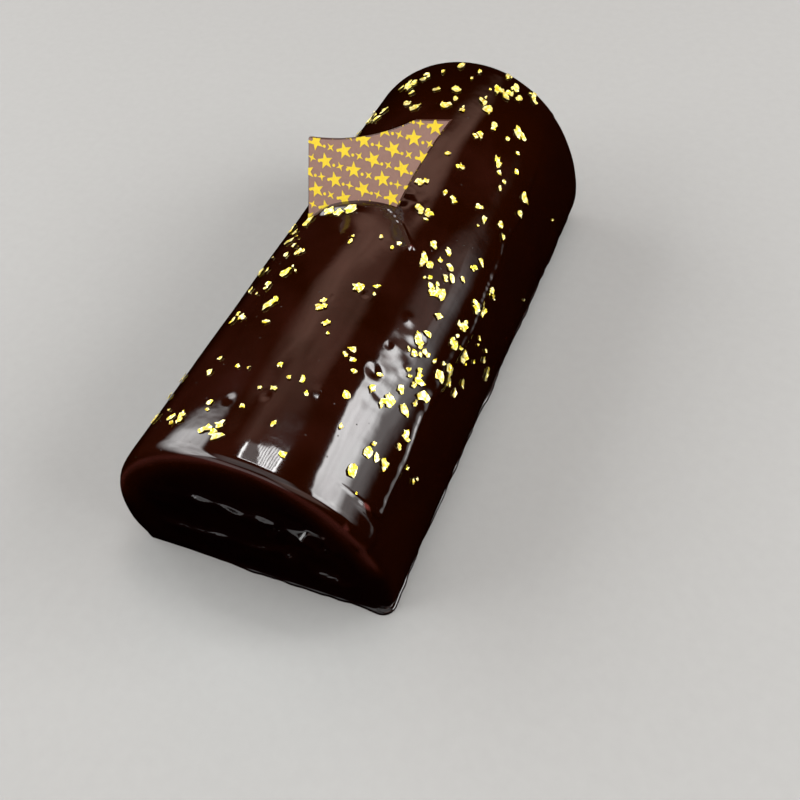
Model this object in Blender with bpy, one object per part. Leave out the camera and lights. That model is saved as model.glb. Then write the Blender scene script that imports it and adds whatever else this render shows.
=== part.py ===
"""Yule log cake: a glazed chocolate roll with a flat base, and a thin chocolate plaque stuck in its top.

Metres, +Z up. The roll lies along Y with its near end at -Y and its base on Z = 0, and at the end the
object's box is centred on the Z axis. Angles round the section are degrees from +X, with 90 at the crown.
"""

import math

import bmesh
import bpy
from mathutils import Matrix, Vector, noise

# The roll
NEAR_END = -0.0940
FAR_END = 0.0963
NEAR_SLANT = 0.045           # the near end is cut a little askew: metres of Y for each metre of X
HALF_WIDTH = 0.0446          # at the widest height of the section
CROWN_HEIGHT = 0.0623
WIDEST_HEIGHT = 0.0119       # height of the widest place above the base
BASE_TUCK = 0.0032           # how far the side draws in below the widest place
CROWN_SHIFT = 0.0022         # the crown leans to +X
NEAR_ROUND = 0.0040          # rounding between the wall and each end
FAR_ROUND = 0.0050
SHOULDER_ROUND = 0.0015      # extra rounding of the near end on its +X shoulder
SHOULDER_ANGLE = 30.0
SHOULDER_SPAN = 35.0
END_DOME = 0.0022            # the ends bulge by this much

# The glaze that ran down and set round the foot
FOOT_HEIGHT = 0.0017
FOOT_SPREAD = 0.0023
FOOT_WANDER = 0.0012
FOOT_WANDER_SIZE = 0.012

# The free edge of the rolled sheet, which shows as a step along the +X shoulder
SEAM_ANGLE = 31.5
SEAM_CLIMB = 11.0            # the angle grows by this much towards the far end
SEAM_WANDER = (1.1, 0.6)     # degrees to each side, in long and in short waves
SEAM_WAVES = (0.066, 0.026)  # the length of those waves
SEAM_STEP = 0.0011
SEAM_STEP_FADE = 0.020       # the raised sheet sinks back into the wall over this distance
SEAM_BEAD = 0.0008
SEAM_BEAD_WIDTH = 0.0016
SEAM_GROOVE = 0.0004
SEAM_GROOVE_WIDTH = 0.0010
ARC_PER_DEGREE = 0.00082     # metres of wall for each degree round the section

# A soft crease along the -X shoulder, in the near half
CREASE_ANGLE = 116.0
CREASE_DEPTH = 0.0005
CREASE_WIDTH = 0.0030

# The turns of the roll that show through the glaze on both ends
SWIRL_X = 0.0205
SWIRL_Z = 0.0355
SWIRL_TURNS = 3.2
SWIRL_RELIEF = 0.0008
PLAIN_RIM = 0.8              # outside this share of an end face the relief fades out

# Slow swells of the hand-spread cream under the glaze
SWELL_SIZE = 0.030
SWELL_HEIGHT = 0.0006

# The plaque in its own plane: U along its printed rows, V up, both from its lower left corner at the glaze
PLAQUE_THICKNESS = 0.0016
PLAQUE_ORIGIN = (-0.0241, 0.0048, 0.0541)
PLAQUE_YAW = 8.0
PLAQUE_SLOPE = 17.0
PLAQUE_LEAN = 25.0
PLAQUE_DEPTH = 0.0110        # how far it is pushed into the roll
PLAQUE_LEFT_TOP = (0.0074, 0.0247)
PLAQUE_TOP_CORNER = (0.0442, 0.0239)
PLAQUE_TIP = (0.0554, 0.0220)
PLAQUE_RIGHT_FOOT = (0.0319, -0.0016)
PLAQUE_TOP_HOLLOW = 0.0024   # how far the top edge curves in
PLAQUE_SIDE_HOLLOW = 0.0009
PLAQUE_EDGE_STEPS = 9        # points along each curved edge
FIT_GAP = 0.0003

# The lip of glaze pushed up in front of the plaque, and the fold beside its right foot
LIP_HEIGHT = 0.0017
LIP_WIDTH = 0.0019
LIP_AHEAD = 0.0016
LIP_RANGE = (-0.0255, 0.0)
LIP_TAPER = 0.006
FOLD_CENTRE = (0.0060, 0.0036)
FOLD_SIZE = (0.0058, 0.0030)
FOLD_HEIGHT = 0.0012

# How finely the solid is faceted
LOWER_ANGLE = 25.0           # the span of angle given to the side below its widest place
WALL_ROWS = 40
WALL_STATIONS = 34
ROUND_STEPS = 3
BASE_POINTS = 12
END_RINGS = (0.985, 0.945, 0.86, 0.76, 0.66, 0.56, 0.46, 0.36, 0.26, 0.16, 0.07)
LOW_ROWS = (0.0, 0.6 * FOOT_HEIGHT, FOOT_HEIGHT, 0.0055)
SEAM_ROWS = (-0.0042, -0.0016, -0.0004, 0.0008, 0.0020, 0.0042)
SEAM_CLEAR = 7.0             # degrees kept clear of the even rows on each side of the seam
LIP_STATIONS = (-0.0035, -0.0012, 0.0008, 0.0026, 0.0046, 0.0068)
LIP_CLEAR = 0.002

GLAZE = ("dark chocolate glaze", (0.012, 0.0045, 0.003), 0.08)
PRINTED_CHOCOLATE = ("printed plaque chocolate", (0.37, 0.23, 0.22), 0.4)


def smooth(start, end, value):
    """0 before start, 1 after end, eased between; start may be the larger."""
    t = max(0.0, min(1.0, (value - start) / (end - start)))
    return t * t * (3 - 2 * t)


def bell(distance, width):
    return math.exp(-((distance / width) ** 2))


def material(name, colour, roughness):
    finish = bpy.data.materials.new(name)
    finish.use_nodes = True
    shader = finish.node_tree.nodes["Principled BSDF"]
    shader.inputs["Base Color"].default_value = (*colour, 1)
    shader.inputs["Roughness"].default_value = roughness
    finish.diffuse_color = (*colour, 1)
    return finish


def new_collection(name):
    made = bpy.data.collections.new(name)
    bpy.context.scene.collection.children.link(made)
    return made


def mesh_object(name, mesh, owner):
    made = bpy.data.objects.new(name, mesh)
    owner.objects.link(made)
    return made


# The plaque's plane and outline

def plaque_matrix():
    """From the plaque's plane (U, V, outwards) to the roll."""
    yaw = math.radians(PLAQUE_YAW)
    slope = math.radians(PLAQUE_SLOPE)
    lean = math.radians(PLAQUE_LEAN)
    along = Vector((math.cos(yaw) * math.cos(slope), math.sin(yaw) * math.cos(slope), math.sin(slope)))
    back = Vector((-math.sin(yaw), math.cos(yaw), 0))
    up = along.cross(back) * math.cos(lean) + back * math.sin(lean)
    turn = Matrix((along, up, along.cross(up))).transposed()
    return Matrix.Translation(PLAQUE_ORIGIN) @ turn.to_4x4()


def hollow_edge(start, end, hollow):
    """Points from start up to, but not at, end, along an edge that curves in by hollow at its middle."""
    span = end - start
    inward = Vector((span.y, -span.x)).normalized()
    shares = [step / PLAQUE_EDGE_STEPS for step in range(PLAQUE_EDGE_STEPS)]
    return [start + span * share + inward * hollow * 4 * share * (1 - share) for share in shares]


def plaque_outline():
    """The cut outline, clockwise from the buried lower left corner."""
    left_top = Vector(PLAQUE_LEFT_TOP)
    top_corner = Vector(PLAQUE_TOP_CORNER)
    tip = Vector(PLAQUE_TIP)
    right_foot = Vector(PLAQUE_RIGHT_FOOT)
    side = tip - right_foot
    buried_left = left_top * (-PLAQUE_DEPTH / left_top.y)
    buried_right = right_foot - side * ((PLAQUE_DEPTH + right_foot.y) / side.y)
    outline = [buried_left]
    outline += hollow_edge(left_top, top_corner, PLAQUE_TOP_HOLLOW)
    outline += [top_corner]
    outline += hollow_edge(tip, right_foot, PLAQUE_SIDE_HOLLOW)
    outline += [right_foot, buried_right]
    return outline


def plate_mesh(name, grow):
    """The plaque as a flat curve with thickness, made a closed mesh; grow widens it on every side."""
    flat = bpy.data.curves.new(name, "CURVE")
    flat.dimensions = "2D"
    flat.fill_mode = "BOTH"
    flat.extrude = PLAQUE_THICKNESS / 2 + grow
    flat.offset = grow
    outline = plaque_outline()
    spline = flat.splines.new("POLY")
    spline.points.add(len(outline) - 1)
    for point, place in zip(spline.points, reversed(outline)):
        point.co = (place.x, place.y, 0, 1)
    spline.use_cyclic_u = True
    guide = bpy.data.objects.new(name, flat)
    bpy.context.scene.collection.objects.link(guide)
    bpy.context.view_layer.update()
    mesh = bpy.data.meshes.new_from_object(guide.evaluated_get(bpy.context.evaluated_depsgraph_get()))
    bpy.data.objects.remove(guide)

    work = bmesh.new()
    work.from_mesh(mesh)
    bmesh.ops.remove_doubles(work, verts=work.verts, dist=1e-6)
    bmesh.ops.translate(work, verts=work.verts, vec=(0, 0, -PLAQUE_THICKNESS / 2))
    bmesh.ops.transform(work, verts=work.verts, matrix=plaque_matrix())
    bmesh.ops.recalc_face_normals(work, faces=work.faces)
    work.to_mesh(mesh)
    work.free()
    return mesh


# The roll's section and relief

def end_plane(end, x):
    """The Y of an end's cut: end is -1 for the near one and 1 for the far one."""
    return FAR_END if end > 0 else NEAR_END + NEAR_SLANT * x


def section(angle, inset):
    """The plain section: a place with Y at 0, drawn in by inset, and the direction out of the wall."""
    rise = CROWN_HEIGHT - WIDEST_HEIGHT
    side = 1 if angle < 90 else -1
    below = max(-angle, angle - 180, 0) / LOWER_ANGLE
    if below > 0:
        place = Vector((side * (HALF_WIDTH - BASE_TUCK * below ** 2), 0, WIDEST_HEIGHT * (1 - below)))
        out = Vector((side, 0, -0.4 * below * (1 - below)))
    else:
        turn = math.radians(angle)
        lean = CROWN_SHIFT * math.sin(turn) * (1 - abs(math.cos(turn)))
        place = Vector((HALF_WIDTH * math.cos(turn) + lean, 0, WIDEST_HEIGHT + rise * math.sin(turn)))
        out = Vector((math.cos(turn) / HALF_WIDTH, 0, math.sin(turn) / rise))
    out.normalize()
    place -= out * inset
    place.z = max(place.z, 0)
    return place, out


def seam_angle(y):
    """Where the free edge lies round the section, at a place along the roll."""
    climb = SEAM_CLIMB * max(0.0, y / FAR_END) ** 1.3
    waves = [SEAM_WANDER[k] * math.sin(math.tau * y / SEAM_WAVES[k] + k) for k in (0, 1)]
    return SEAM_ANGLE + climb + sum(waves)


def seam_relief(angle, y):
    """The step, the rounded bead along its edge and the thin groove under it; fainter at the far end."""
    above = (angle - seam_angle(y)) * ARC_PER_DEGREE
    strength = 1 - 0.65 * smooth(-0.005, 0.045, y) - 0.2 * smooth(0.06, 0.09, y)
    step = SEAM_STEP * smooth(-0.0012, 0.0012, above) * math.exp(-max(above, 0) / SEAM_STEP_FADE)
    bead = SEAM_BEAD * bell(above - SEAM_BEAD_WIDTH, SEAM_BEAD_WIDTH)
    groove = SEAM_GROOVE * bell(above + 0.0014, SEAM_GROOVE_WIDTH)
    return strength * (step + bead - groove)


def lip_relief(place):
    """Glaze heaped in front of the plaque, and folded over beside its right foot."""
    plaque_y = PLAQUE_ORIGIN[1] + (place.x - PLAQUE_ORIGIN[0]) * math.tan(math.radians(PLAQUE_YAW))
    start, stop = LIP_RANGE
    along = smooth(start, start + LIP_TAPER, place.x) * smooth(stop + LIP_TAPER, stop - LIP_TAPER, place.x)
    lip = LIP_HEIGHT * along * bell(place.y - plaque_y + LIP_AHEAD, LIP_WIDTH)
    fold_x = bell(place.x - FOLD_CENTRE[0], FOLD_SIZE[0])
    fold_y = bell(place.y - FOLD_CENTRE[1], FOLD_SIZE[1])
    return lip + FOLD_HEIGHT * fold_x * fold_y


def swell(place):
    return SWELL_HEIGHT * noise.noise(place / SWELL_SIZE)


def wall_relief(angle, place):
    on_top = smooth(35, 70, angle) * smooth(150, 120, angle)
    crease = CREASE_DEPTH * bell((angle - CREASE_ANGLE) * ARC_PER_DEGREE, CREASE_WIDTH)
    crease *= smooth(0.02, -0.02, place.y)
    return seam_relief(angle, place.y) + on_top * lip_relief(place) - crease + swell(place)


def foot_relief(place):
    """The rounded edge of the glaze pooled at the base."""
    if place.z >= FOOT_HEIGHT:
        return 0.0
    wander = FOOT_WANDER * noise.noise(Vector((place.x, place.y, 0)) / FOOT_WANDER_SIZE)
    return (FOOT_SPREAD + wander) * math.sqrt(1 - (place.z / FOOT_HEIGHT) ** 2)


def end_relief(place, share):
    """Relief of an end face; share is 1 at the rim and 0 at the middle of the swirl."""
    turn = math.atan2(place.z - SWIRL_Z, place.x - SWIRL_X) / math.tau
    ridges = 0.5 - 0.5 * math.cos(math.tau * (SWIRL_TURNS * share + turn))
    relief = SWIRL_RELIEF * ridges + swell(place)
    return smooth(1, PLAIN_RIM, share) * relief + END_DOME * (1 - share ** 2)


# The roll's mesh

def wall_angles():
    """Angles of the wall's rows, right foot to left foot, closer together at the foot and the seam."""
    low = [-LOWER_ANGLE * (1 - height / WIDEST_HEIGHT) for height in LOW_ROWS]
    even = [180 * row / WALL_ROWS for row in range(WALL_ROWS + 1)]
    upper = [angle for angle in even if abs(angle - SEAM_ANGLE) > SEAM_CLEAR]
    upper += [SEAM_ANGLE + offset / ARC_PER_DEGREE for offset in SEAM_ROWS]
    return low + sorted(upper) + [180 - angle for angle in reversed(low)]


def follow_seam(angle, y):
    """Moves a row near the seam along with it, so that the mesh runs along the step."""
    share = smooth(0, SEAM_ANGLE - SEAM_CLEAR, angle) * smooth(110, SEAM_ANGLE + SEAM_CLEAR, angle)
    return angle + (seam_angle(y) - SEAM_ANGLE) * share


def ring_plan():
    """Each ring as its Y, the end it rounds over to (-1, 0 or 1) and how far round that corner it is."""
    corners = [90 * step / ROUND_STEPS for step in range(ROUND_STEPS + 1)]
    length = FAR_END - NEAR_END
    even = [NEAR_END + length * step / WALL_STATIONS for step in range(2, WALL_STATIONS - 1)]
    low, high = LIP_STATIONS[0] - LIP_CLEAR, LIP_STATIONS[-1] + LIP_CLEAR
    stations = sorted([y for y in even if not low < y < high] + list(LIP_STATIONS))
    plan = [(NEAR_END, -1, corner) for corner in corners]
    plan += [(y, 0, 90) for y in stations]
    return plan + [(FAR_END, 1, corner) for corner in reversed(corners)]


def wall_point(angle, y, end, corner):
    """One vertex of the wall, or of the rounding over to an end."""
    turn = math.radians(corner)
    inset = 0
    if end:
        radius = FAR_ROUND
        if end < 0:
            radius = NEAR_ROUND + SHOULDER_ROUND * bell(angle - SHOULDER_ANGLE, SHOULDER_SPAN)
        inset = radius * (1 - math.sin(turn))
        y = end_plane(end, section(angle, inset)[0].x) - end * radius * (1 - math.cos(turn))
    angle = follow_seam(angle, y)
    place, out = section(angle, inset)
    place.y = y
    if place.z == 0:
        out.z = 0
    outward = out * math.sin(turn) + Vector((0, end, 0)) * math.cos(turn)
    place += outward * (wall_relief(angle, place) * math.sin(turn) + foot_relief(place))
    place.z = max(place.z, 0)
    return place


def end_point(rim, share, end):
    """One vertex of an end face, drawn from its rim towards the middle of the swirl."""
    place = Vector((SWIRL_X, 0, SWIRL_Z)).lerp(rim, share)
    place.y = end_plane(end, place.x)
    place.y += end * (end_relief(place, share) + foot_relief(place))
    return place


def base_edge(work, left, right, end):
    """Vertices on Z = 0 along an end, between its left foot and its right foot."""
    made = []
    for step in range(1, BASE_POINTS):
        place = left.co.lerp(right.co, step / BASE_POINTS)
        place.z = 0
        place.y = end_plane(end, place.x)
        place.y += end * foot_relief(place)
        made.append(work.verts.new(place))
    return made


def close_end(work, rim, end):
    """Rings drawn in from the rim to the middle of the swirl, closed by a fan."""
    outer = rim
    for share in END_RINGS:
        inner = [work.verts.new(end_point(vertex.co, share, end)) for vertex in rim]
        for step in range(len(rim)):
            work.faces.new((outer[step - 1], outer[step], inner[step], inner[step - 1]))
        outer = inner
    middle = work.verts.new(end_point(rim[0].co, 0, end))
    for step in range(len(rim)):
        work.faces.new((outer[step - 1], outer[step], middle))


def roll_mesh():
    """A loft of open sections from end to end, the two end faces, and one flat face under it all."""
    work = bmesh.new()
    angles = wall_angles()
    rings = [[work.verts.new(wall_point(angle, *ring)) for angle in angles] for ring in ring_plan()]
    for ring, following in zip(rings, rings[1:]):
        for row in range(len(angles) - 1):
            work.faces.new((ring[row], following[row], following[row + 1], ring[row + 1]))
    near, far = rings[0], rings[-1]
    near_base = base_edge(work, near[-1], near[0], -1)
    far_base = base_edge(work, far[-1], far[0], 1)
    close_end(work, near + near_base, -1)
    close_end(work, far + far_base, 1)
    right = [ring[0] for ring in rings]
    left = [ring[-1] for ring in reversed(rings)]
    work.faces.new(right + far_base[::-1] + left + near_base)
    bmesh.ops.recalc_face_normals(work, faces=work.faces)
    mesh = bpy.data.meshes.new("roll")
    work.to_mesh(mesh)
    work.free()
    mesh.shade_smooth()
    return mesh


def centre_on_axis(shown, cutter):
    """Moves everything so that the box of what is shown stands centred on the Z axis, on Z = 0."""
    corners = [vertex.co for thing in shown for vertex in thing.data.vertices]
    low = [min(corner[axis] for corner in corners) for axis in range(3)]
    high = [max(corner[axis] for corner in corners) for axis in range(3)]
    shift = Matrix.Translation((-(low[0] + high[0]) / 2, -(low[1] + high[1]) / 2, -low[2]))
    for thing in (*shown, cutter):
        thing.data.transform(shift)


def main():
    for thing in list(bpy.data.objects):
        bpy.data.objects.remove(thing)
    parts = new_collection("yule_log_cake")
    cutters = new_collection("cutters")

    roll = mesh_object("roll", roll_mesh(), parts)
    roll.data.materials.append(material(*GLAZE))
    plaque = mesh_object("plaque", plate_mesh("plaque", 0), parts)
    plaque.data.materials.append(material(*PRINTED_CHOCOLATE))
    slit = mesh_object("slit_cutter", plate_mesh("slit_cutter", FIT_GAP), cutters)
    slit.hide_render = True
    slit.display_type = "WIRE"
    centre_on_axis((roll, plaque), slit)

    cut = roll.modifiers.new("slit", "BOOLEAN")
    cut.operation = "DIFFERENCE"
    cut.solver = "EXACT"
    cut.object = slit


main()
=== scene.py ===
import math
import random

import bmesh
import bpy
from mathutils import Matrix, Vector, geometry, noise


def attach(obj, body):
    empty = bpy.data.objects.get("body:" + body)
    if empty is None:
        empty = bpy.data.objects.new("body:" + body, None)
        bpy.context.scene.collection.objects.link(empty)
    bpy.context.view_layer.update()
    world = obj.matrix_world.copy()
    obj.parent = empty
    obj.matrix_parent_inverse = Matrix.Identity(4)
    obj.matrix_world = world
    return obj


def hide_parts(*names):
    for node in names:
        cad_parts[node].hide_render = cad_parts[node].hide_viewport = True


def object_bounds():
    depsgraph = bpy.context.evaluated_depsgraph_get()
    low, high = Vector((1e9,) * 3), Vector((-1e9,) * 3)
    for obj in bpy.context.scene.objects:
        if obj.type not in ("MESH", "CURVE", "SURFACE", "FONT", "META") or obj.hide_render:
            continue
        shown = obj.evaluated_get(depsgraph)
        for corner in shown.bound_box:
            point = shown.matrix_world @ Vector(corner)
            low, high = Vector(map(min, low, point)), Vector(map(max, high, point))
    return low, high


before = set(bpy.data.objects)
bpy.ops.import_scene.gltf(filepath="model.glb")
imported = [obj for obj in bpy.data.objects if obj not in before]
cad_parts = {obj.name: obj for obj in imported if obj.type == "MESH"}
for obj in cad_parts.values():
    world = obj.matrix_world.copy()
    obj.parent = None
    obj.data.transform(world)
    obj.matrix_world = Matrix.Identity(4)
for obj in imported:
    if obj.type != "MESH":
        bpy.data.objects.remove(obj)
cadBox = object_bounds()
scene = bpy.context.scene
mm = 0.001


# small helpers

def smooth(start, end, value):
    t = max(0.0, min(1.0, (value - start) / (end - start)))
    return t * t * (3 - 2 * t)


def bell(distance, width):
    return math.exp(-((distance / width) ** 2))


def hexColour(code):  # sRGB hex to the linear colour that Blender wants
    channels = [int(code[k:k + 2], 16) / 255 for k in (1, 3, 5)]
    linear = [c / 12.92 if c <= 0.04045 else ((c + 0.055) / 1.055) ** 2.4 for c in channels]
    return (*linear, 1.0)


def addNode(tree, kind, inputs=None, **settings):
    node = tree.nodes.new(kind)
    for name, value in settings.items():
        setattr(node, name, value)
    for name, value in (inputs or {}).items():
        if isinstance(value, bpy.types.NodeSocket):
            tree.links.new(value, node.inputs[name])
        else:
            node.inputs[name].default_value = value
    return node


def newMaterial(name):
    finish = bpy.data.materials.new(name)
    finish.use_nodes = True
    tree = finish.node_tree
    return finish, tree, tree.nodes["Principled BSDF"]


def meshObject(name, mesh, place):
    piece = bpy.data.objects.new(name, mesh)
    scene.collection.objects.link(piece)
    piece.location = place
    return piece


# camera: looks down on the near end, over the roll's right shoulder

cameraSetup = {
    "azimuth": 28.66,
    "elevation": 52.16,
    "tilt": -7.11,                       # the picture leans a little to the left
    "lens": 38.25,
    "place": (0.10207, -0.17957, 0.23599),
}


def addCamera(setup):
    azimuth, elevation, tilt = (math.radians(setup[k]) for k in ("azimuth", "elevation", "tilt"))
    back = Vector((math.sin(azimuth) * math.cos(elevation), -math.cos(azimuth) * math.cos(elevation),
                   math.sin(elevation)))
    right = Vector((0, 0, 1)).cross(back).normalized()
    turn = Matrix((right, back.cross(right), back)).transposed().to_4x4()
    camera = bpy.data.objects.new("camera", bpy.data.cameras.new("camera"))
    scene.collection.objects.link(camera)
    camera.matrix_world = Matrix.Translation(setup["place"]) @ turn @ Matrix.Rotation(tilt, 4, "Z")
    camera.data.lens = setup["lens"]
    camera.data.sensor_width = 36
    camera.data.clip_start = 0.01
    scene.camera = camera


addCamera(cameraSetup)
print("camera placed")


# materials

def mirrorGlaze():
    # chocolate mirror glaze, poured warm and set: nearly black brown with a wet, sharp gloss
    look = {
        "deepAndPaintedShade": "#050101",               # darkest: thick glaze on the near end face, and painted shade on that face
        "crown": "#160400",              # over the crown, where it has run thinner; lighter there partly as painted light from above
        "thin": "#5C2C28",               # where it has drawn thin over an edge, redder and lighter; also a painted reflection band along the near rim
        "crownShare": 0.25,              # how thin the crown's glaze is, in the attribute, with the crown's painted light from above
        "roughness": 0.07,
        "ior": 1.47,
        "bubbleSize": 2.2,               # mm, the cell that may hold a pinprick bubble
        "rippleSize": 3.2,               # mm, the orange peel of the setting skin
    }
    finish, tree, shader = newMaterial("chocolateMirrorGlaze")
    place = addNode(tree, "ShaderNodeTexCoord").outputs["Object"]
    # the attribute carries thin glaze and painted light: a crown partly lit by paint, painted shade on the near end
    # face, a painted reflection along the near rim
    thin = addNode(tree, "ShaderNodeAttribute", attribute_name="thinGlazeAndPaintedLight").outputs["Fac"]
    cloud = addNode(tree, "ShaderNodeTexNoise", {"Vector": place, "Scale": 60, "Detail": 3})
    uneven = addNode(tree, "ShaderNodeMapRange", {"Value": cloud.outputs["Fac"], "From Min": 0.35,
                                                  "From Max": 0.75, "To Min": 0.0, "To Max": 0.05})
    share = addNode(tree, "ShaderNodeMath", {0: thin, 1: uneven.outputs["Result"]}, operation="ADD",
                    use_clamp=True)
    crownAndPaintedLight = addNode(tree, "ShaderNodeMapRange", {"Value": share.outputs[0], "From Max": look["crownShare"]})
    edgeAndPaintedRim = addNode(tree, "ShaderNodeMapRange", {"Value": share.outputs[0], "From Min": look["crownShare"]})
    body = addNode(tree, "ShaderNodeMix", {"Factor": crownAndPaintedLight.outputs["Result"], "A": hexColour(look["deepAndPaintedShade"]),
                                           "B": hexColour(look["crown"])}, data_type="RGBA")
    tint = addNode(tree, "ShaderNodeMix", {"Factor": edgeAndPaintedRim.outputs["Result"], "A": body.outputs["Result"],
                                           "B": hexColour(look["thin"])}, data_type="RGBA")
    tree.links.new(tint.outputs["Result"], shader.inputs["Base Color"])
    shader.inputs["Roughness"].default_value = look["roughness"]
    shader.inputs["IOR"].default_value = look["ior"]

    ripple = addNode(tree, "ShaderNodeTexNoise", {"Vector": place, "Scale": 1000 / look["rippleSize"],
                                                  "Detail": 1})
    cells = addNode(tree, "ShaderNodeTexVoronoi", {"Vector": place, "Scale": 1000 / look["bubbleSize"]})
    spot = addNode(tree, "ShaderNodeMapRange", {"Value": cells.outputs["Distance"], "From Min": 0.05,
                                                "From Max": 0.11, "To Min": 1.0, "To Max": 0.0})
    pick = addNode(tree, "ShaderNodeSeparateColor", {"Color": cells.outputs["Color"]})
    rare = addNode(tree, "ShaderNodeMath", {0: pick.outputs[0], 1: 0.88}, operation="GREATER_THAN")
    bubble = addNode(tree, "ShaderNodeMath", {0: spot.outputs["Result"], 1: rare.outputs[0]},
                     operation="MULTIPLY")
    soft = addNode(tree, "ShaderNodeBump", {"Height": ripple.outputs["Fac"], "Strength": 0.10,
                                            "Distance": 0.0002})
    sharp = addNode(tree, "ShaderNodeBump", {"Height": bubble.outputs[0], "Strength": 0.6,
                                             "Distance": 0.0001, "Normal": soft.outputs["Normal"]})
    tree.links.new(sharp.outputs["Normal"], shader.inputs["Normal"])
    return finish


def printedFilm():
    # cocoa-butter transfer print on cast chocolate: flat, slightly milky mauve with a satin face
    finish, tree, shader = newMaterial("transferPrintGround")
    place = addNode(tree, "ShaderNodeTexCoord").outputs["Object"]
    mottle = addNode(tree, "ShaderNodeTexNoise", {"Vector": place, "Scale": 900, "Detail": 3})
    tint = addNode(tree, "ShaderNodeMix", {"Factor": mottle.outputs["Fac"], "A": hexColour("#816157"),
                                           "B": hexColour("#917064")}, data_type="RGBA")
    tree.links.new(tint.outputs["Result"], shader.inputs["Base Color"])
    shader.inputs["Roughness"].default_value = 0.42
    shader.inputs["IOR"].default_value = 1.45
    return finish


def castChocolate():
    # dark couverture, cast in a thin sheet and cut: the bare back and edges, dark brown and satin
    finish, tree, shader = newMaterial("castDarkChocolate")
    place = addNode(tree, "ShaderNodeTexCoord").outputs["Object"]
    cloud = addNode(tree, "ShaderNodeTexNoise", {"Vector": place, "Scale": 180, "Detail": 4})
    tint = addNode(tree, "ShaderNodeMix", {"Factor": cloud.outputs["Fac"], "A": hexColour("#2B140E"),
                                           "B": hexColour("#4A281D")}, data_type="RGBA")
    tree.links.new(tint.outputs["Result"], shader.inputs["Base Color"])
    shader.inputs["Roughness"].default_value = 0.36
    shader.inputs["IOR"].default_value = 1.45
    grain = addNode(tree, "ShaderNodeBump", {"Height": cloud.outputs["Fac"], "Strength": 0.2,
                                             "Distance": 0.0002})
    tree.links.new(grain.outputs["Normal"], shader.inputs["Normal"])
    return finish


def cocoaButterInk():
    # yellow cocoa-butter ink, screen printed: opaque, evenly matte
    finish, tree, shader = newMaterial("yellowCocoaButterInk")
    place = addNode(tree, "ShaderNodeTexCoord").outputs["Object"]
    mottle = addNode(tree, "ShaderNodeTexNoise", {"Vector": place, "Scale": 1200, "Detail": 2})
    tint = addNode(tree, "ShaderNodeMix", {"Factor": mottle.outputs["Fac"], "A": hexColour("#D6B61A"),
                                           "B": hexColour("#E8CF2A")}, data_type="RGBA")
    tree.links.new(tint.outputs["Result"], shader.inputs["Base Color"])
    shader.inputs["Roughness"].default_value = 0.5
    shader.inputs["IOR"].default_value = 1.45
    return finish


def crumpledLeaf():
    # edible gold leaf, beaten and crumpled: bright pale yellow metal, broken by tiny creases
    finish, tree, shader = newMaterial("crumpledGoldLeaf")
    place = addNode(tree, "ShaderNodeTexCoord").outputs["Object"]
    crease = addNode(tree, "ShaderNodeTexNoise", {"Vector": place, "Scale": 1100, "Detail": 4})
    patch = addNode(tree, "ShaderNodeMapRange", {"Value": crease.outputs["Fac"], "From Min": 0.42, "From Max": 0.58})
    tint = addNode(tree, "ShaderNodeMix", {"Factor": patch.outputs["Result"], "A": hexColour("#F2DB34"),
                                           "B": hexColour("#FFF7BC")}, data_type="RGBA")
    tree.links.new(tint.outputs["Result"], shader.inputs["Base Color"])
    shader.inputs["Metallic"].default_value = 1.0
    shader.inputs["Roughness"].default_value = 0.50
    wrinkle = addNode(tree, "ShaderNodeBump", {"Height": crease.outputs["Fac"], "Strength": 0.5,
                                               "Distance": 0.0003})
    tree.links.new(wrinkle.outputs["Normal"], shader.inputs["Normal"])
    return finish


def paleBoard():
    # pale matte painted board: a plain ground that takes soft shadows
    finish, tree, shader = newMaterial("palePaintedBoard")
    place = addNode(tree, "ShaderNodeTexCoord").outputs["Object"]
    fleck = addNode(tree, "ShaderNodeTexNoise", {"Vector": place, "Scale": 250, "Detail": 2})
    tint = addNode(tree, "ShaderNodeMix", {"Factor": fleck.outputs["Fac"], "A": hexColour("#8A8A88"),
                                           "B": hexColour("#8F8F8D")}, data_type="RGBA")
    tree.links.new(tint.outputs["Result"], shader.inputs["Base Color"])
    shader.inputs["Roughness"].default_value = 0.8
    return finish


glaze = mirrorGlaze()
film = printedFilm()
chocolate = castChocolate()
ink = cocoaButterInk()
leaf = crumpledLeaf()
board = paleBoard()
print("materials ready")


# the roll, in metres in its own frame: its centre line is X = 0, its middle Y = 0 and its base Z = 0

rollPlace = Vector((0.00008, -0.00066, 0))   # where the roll's own origin lies in the frame
roll = {
    "nearEnd": -0.0940,
    "farEnd": 0.0963,
    "nearSlant": 0.045,                  # the near end is cut a little askew
    "halfWidth": 0.0446,
    "crownHeight": 0.0623,
    "widestHeight": 0.0119,
    "baseTuck": 0.0032,
    "lowerAngle": 25.0,                  # span of angle given to the side below its widest place
    "crownShift": 0.0022,
    "nearRound": 0.0022,
    "farRound": 0.0050,
    "rightRound": 0.0020,                # added to nearRound at the right shoulder
    "leftRound": 0.0022,                 # and at the left one
    "droop": 0.0004,                     # how far the glaze sinks towards the near rim
    "droopReach": 0.0085,
    "endDome": 0.0022,
    "swellSize": 0.030,
    "swellHeight": 0.0004,
    "arcPerDegree": 0.00082,
    "rowStep": 0.95,                     # degrees
    "fineRowStep": 0.60,                 # over the crown, where the plaque stands
    "stationStep": 0.0010,
    "fineStationStep": 0.00045,
}
foot = {"height": 0.0015, "spread": 0.0013, "wander": 0.0010, "wanderSize": 0.012}
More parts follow.
